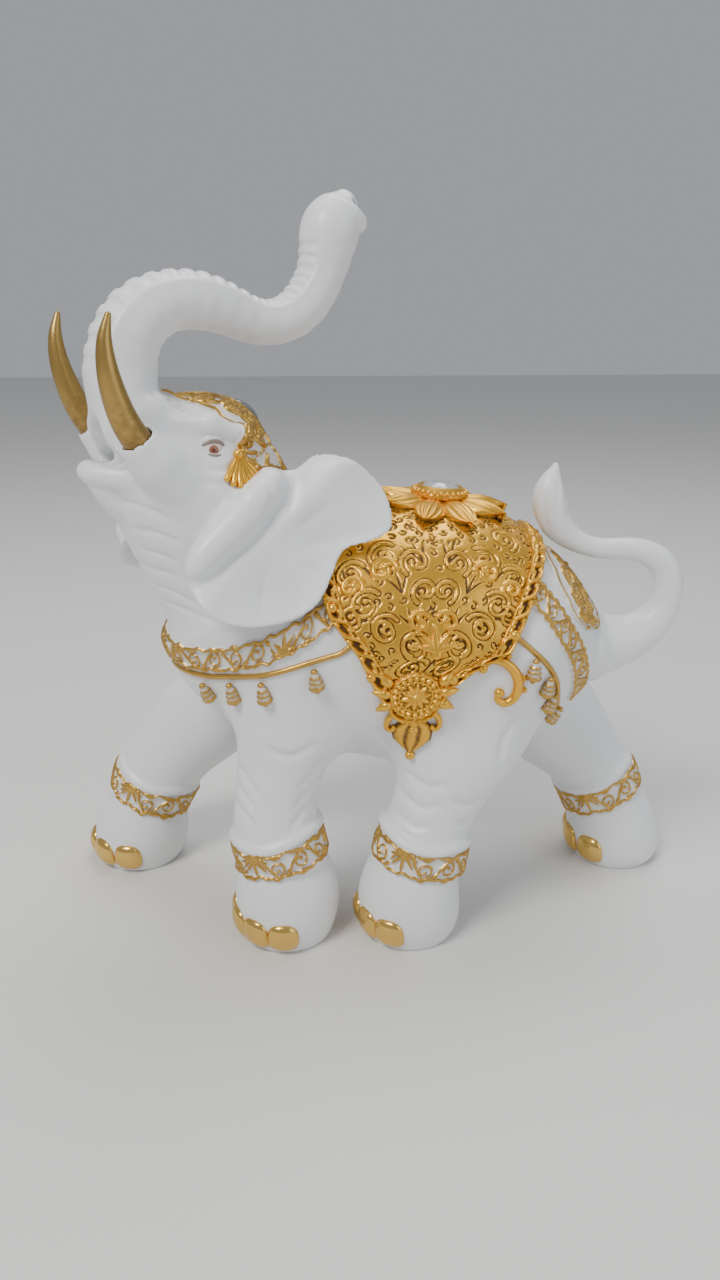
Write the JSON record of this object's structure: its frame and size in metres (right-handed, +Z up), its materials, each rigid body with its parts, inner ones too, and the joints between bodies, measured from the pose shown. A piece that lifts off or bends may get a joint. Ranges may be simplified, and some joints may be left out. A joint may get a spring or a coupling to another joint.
{
  "type": "elephant figurine",
  "caption": "Walking elephant figurine with raised trunk, tusks, saddle cloth, harness, medallions, anklets and set gems, for standing on a shelf or table.",
  "frame": {"origin": "middle of the outline on the surface the feet stand on", "axes": "-X the way the elephant walks, -Y its left side, +Z up"},
  "size_m": [0.2324, 0.1096, 0.249],
  "materials": {
    "white_casting": "satin white paint on cast resin",
    "antique_gold": "antique gold paint, dark in the engraving",
    "gilt_filigree": "gold brushed over white relief",
    "nail_gold": "polished pale gold paint",
    "tusk_gold": "dull bronze gold paint",
    "eye": "gloss paint",
    "clear_gem": "faceted, silver backed",
    "grey_gem": "polished cabochon"
  },
  "bodies": {
    "root": {"anklet_front_left": "gilt_filigree", "anklet_front_right": "gilt_filigree", "anklet_hind_left": "gilt_filigree", "anklet_hind_right": "gilt_filigree", "breast_collar": "gilt_filigree", "breast_strap": "gilt_filigree", "breast_tassels": "gilt_filigree", "ear_left": "white_casting", "ear_right": "white_casting", "eye_left": "eye", "eye_right": "eye", "forehead_gem": "grey_gem", "gem_bezel": "antique_gold", "head": "white_casting", "head_plate": "antique_gold", "leg_front_left": "white_casting", "leg_front_right": "white_casting", "leg_hind_left": "white_casting", "leg_hind_right": "white_casting", "medallion_left": "antique_gold", "medallion_right": "antique_gold", "pendant_left": "antique_gold", "pendant_right": "antique_gold", "rump_band": "gilt_filigree", "rump_crest": "antique_gold", "rump_strap": "gilt_filigree", "rump_tassels": "gilt_filigree", "saddle_border": "antique_gold", "saddle_cloth": "antique_gold", "saddle_gem": "clear_gem", "saddle_rosette": "antique_gold", "side_scroll_left": "antique_gold", "side_scroll_right": "antique_gold", "tail": "white_casting", "temple_pendant_left": "gilt_filigree", "temple_pendant_right": "gilt_filigree", "toenails_front_left": "nail_gold", "toenails_front_right": "nail_gold", "toenails_hind_left": "nail_gold", "toenails_hind_right": "nail_gold", "torso": "white_casting", "trunk": "white_casting", "tusk_left": "tusk_gold", "tusk_right": "tusk_gold"}
  },
  "joints": []
}
